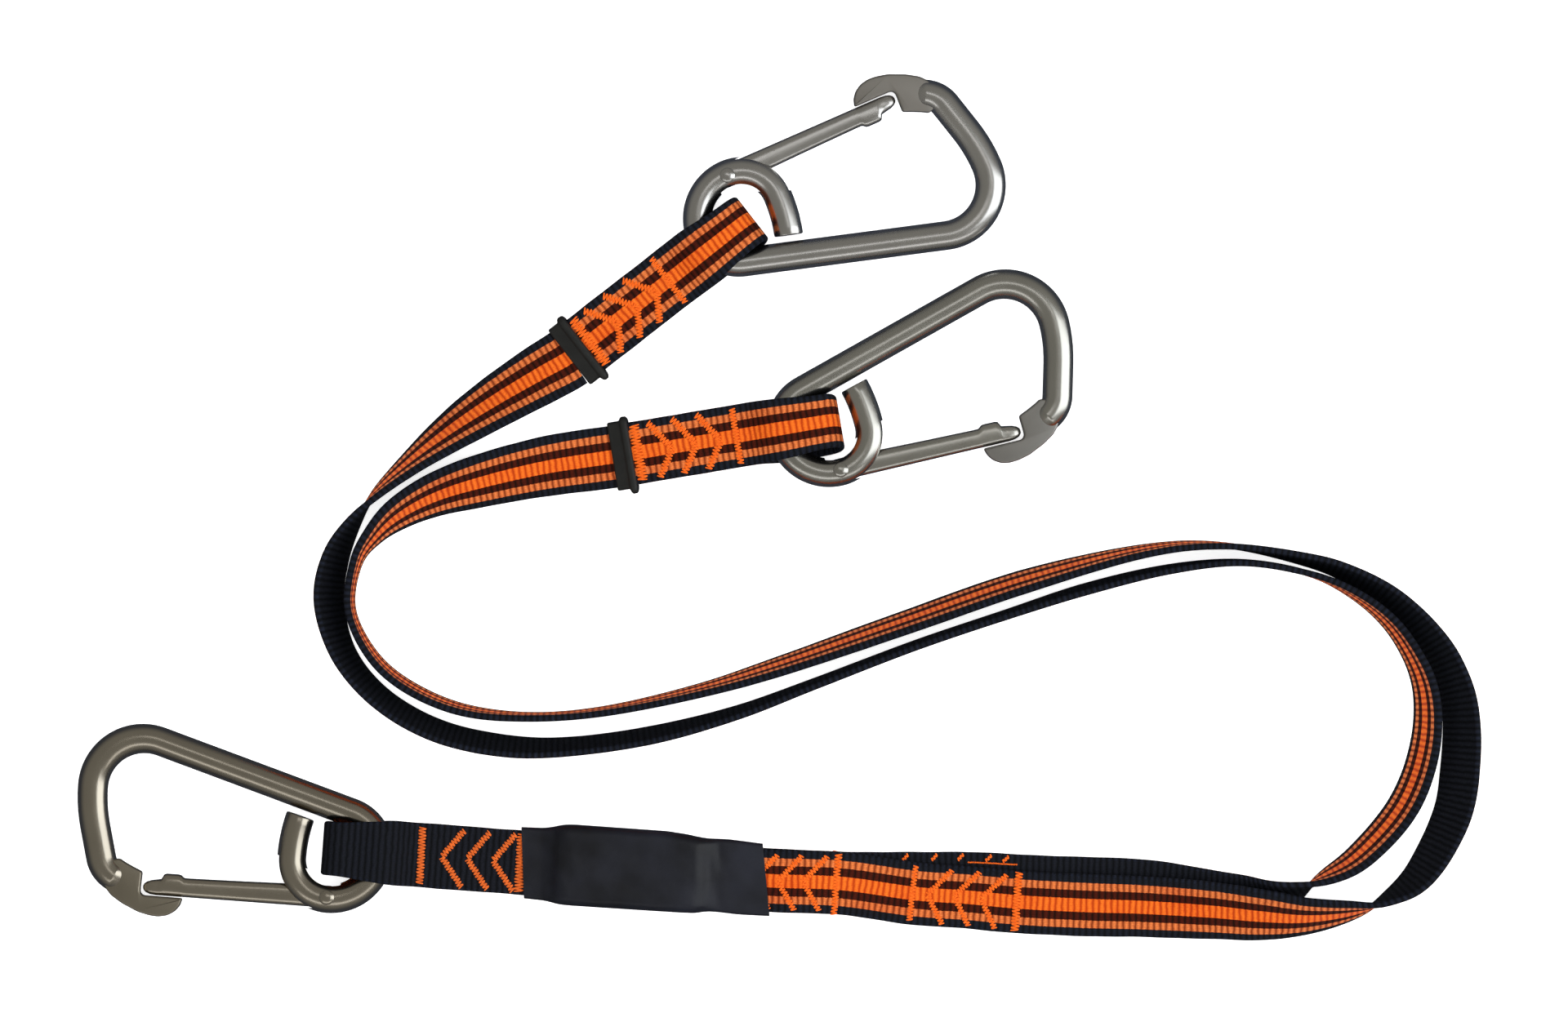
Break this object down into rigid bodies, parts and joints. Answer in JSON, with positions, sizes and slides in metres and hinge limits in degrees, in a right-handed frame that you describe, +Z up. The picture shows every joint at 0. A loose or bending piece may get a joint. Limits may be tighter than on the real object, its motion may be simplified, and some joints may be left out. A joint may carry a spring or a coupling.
{
  "type": "shock absorbing lanyard",
  "caption": "Forked webbing fall-arrest lanyard with a snap hook on every end and a shrink-covered tear-webbing shock absorber, laid out in open loops.",
  "frame": {"origin": "middle of the absorber's flat underside, on the surface that the lanyard lies on", "axes": "+X from the harness hook through the absorber towards the joint of the legs, +Y towards the legs' hooks, +Z up"},
  "size_m": [0.4806, 0.3058, 0.0221],
  "materials": {
    "stainless_steel": "polished",
    "spring_steel": "drawn wire",
    "black_webbing": "woven polyester",
    "striped_webbing": "woven polyester, orange and black stripes on one face, black on the other",
    "shrink_cover": "satin heat-shrink film",
    "keeper_rubber": "satin"
  },
  "bodies": {
    "lanyard": {"absorber_cover": "shrink_cover", "tear_webbing": "black_webbing", "harness_lap": "black_webbing", "leg_a_sewn_end": "striped_webbing", "leg_b_sewn_end": "striped_webbing", "leg_a_strap": "striped_webbing", "leg_b_strap": "striped_webbing", "leg_a_lap": "striped_webbing", "leg_b_lap": "striped_webbing"},
    "harness_hook": {"harness_hook_frame": "stainless_steel", "harness_gate_rivet": "stainless_steel", "harness_eye": "black_webbing"},
    "harness_gate": {"harness_gate": "stainless_steel", "harness_gate_spring": "spring_steel"},
    "harness_plunger": {"harness_gate_plunger": "stainless_steel"},
    "leg_a_hook": {"leg_a_hook_frame": "stainless_steel", "leg_a_gate_rivet": "stainless_steel", "leg_a_eye": "striped_webbing"},
    "leg_a_gate": {"leg_a_gate": "stainless_steel", "leg_a_gate_spring": "spring_steel"},
    "leg_a_plunger": {"leg_a_gate_plunger": "stainless_steel"},
    "leg_b_hook": {"leg_b_hook_frame": "stainless_steel", "leg_b_gate_rivet": "stainless_steel", "leg_b_eye": "striped_webbing"},
    "leg_b_gate": {"leg_b_gate": "stainless_steel", "leg_b_gate_spring": "spring_steel"},
    "leg_b_plunger": {"leg_b_gate_plunger": "stainless_steel"},
    "leg_a_keeper": {"leg_a_keeper": "keeper_rubber"},
    "leg_b_keeper": {"leg_b_keeper": "keeper_rubber"}
  },
  "joints": [
    {"name": "harness_webbing_fold", "type": "hinge", "parent": "lanyard", "child": "harness_hook", "pos_m": [-0.074, -0.00065, 0.0079], "axis": [0.0105, 0.9999, 0], "range_deg": [0, 110]},
    {"name": "harness_gate_hinge", "type": "hinge", "parent": "harness_hook", "child": "harness_gate", "pos_m": [-0.10425, -0.01724, 0.00751], "axis": [0.027, -0.0003, -0.9996], "range_deg": [0, 25], "stiffness_Nm_per_rad": 0.8, "springref_deg": -20.05},
    {"name": "harness_plunger_slide", "type": "slide", "parent": "harness_gate", "child": "harness_plunger", "axis": [-0.9996, 0.0122, -0.027], "range_m": [0, 0.00095], "deforming": ["harness_gate_spring"]},
    {"name": "leg_a_webbing_fold", "type": "hinge", "parent": "lanyard", "child": "leg_a_hook", "pos_m": [0.0015, 0.2042, 0.0079], "axis": [0.6626, -0.749, 0], "range_deg": [0, 110]},
    {"name": "leg_a_gate_hinge", "type": "hinge", "parent": "leg_a_hook", "child": "leg_a_gate", "pos_m": [0.01694, 0.23944, 0.00751], "axis": [-0.024, -0.0124, -0.9996], "range_deg": [0, 25], "stiffness_Nm_per_rad": 0.8, "springref_deg": -20.05},
    {"name": "leg_a_plunger_slide", "type": "slide", "parent": "leg_a_gate", "child": "leg_a_plunger", "axis": [0.8891, 0.4569, -0.027], "range_m": [0, 0.00095], "deforming": ["leg_a_gate_spring"]},
    {"name": "leg_b_webbing_fold", "type": "hinge", "parent": "lanyard", "child": "leg_b_hook", "pos_m": [0.029, 0.1509, 0.0079], "axis": [0.2284, -0.9736, 0], "range_deg": [0, 80]},
    {"name": "leg_b_gate_hinge", "type": "hinge", "parent": "leg_b_hook", "child": "leg_b_gate", "pos_m": [0.06234, 0.14085, 0.00751], "axis": [0.0258, 0.0079, 0.9996], "range_deg": [0, 25], "stiffness_Nm_per_rad": 0.8, "springref_deg": -20.05},
    {"name": "leg_b_plunger_slide", "type": "slide", "parent": "leg_b_gate", "child": "leg_b_plunger", "axis": [0.9554, 0.2939, -0.027], "range_m": [0, 0.00095], "deforming": ["leg_b_gate_spring"]},
    {"name": "leg_a_keeper_slide", "type": "slide", "parent": "lanyard", "child": "leg_a_keeper", "axis": [0.7467, 0.6606, 0.078], "range_m": [0, 0.03]},
    {"name": "leg_b_keeper_slide", "type": "slide", "parent": "lanyard", "child": "leg_b_keeper", "axis": [0.9706, 0.2277, 0.078], "range_m": [0, 0.03]}
  ],
  "couplings": [
    {"joint": "harness_plunger_slide", "follows": "harness_gate_hinge", "m_per_rad": 0.0021},
    {"joint": "leg_a_plunger_slide", "follows": "leg_a_gate_hinge", "m_per_rad": 0.0021},
    {"joint": "leg_b_plunger_slide", "follows": "leg_b_gate_hinge", "m_per_rad": 0.0021}
  ]
}
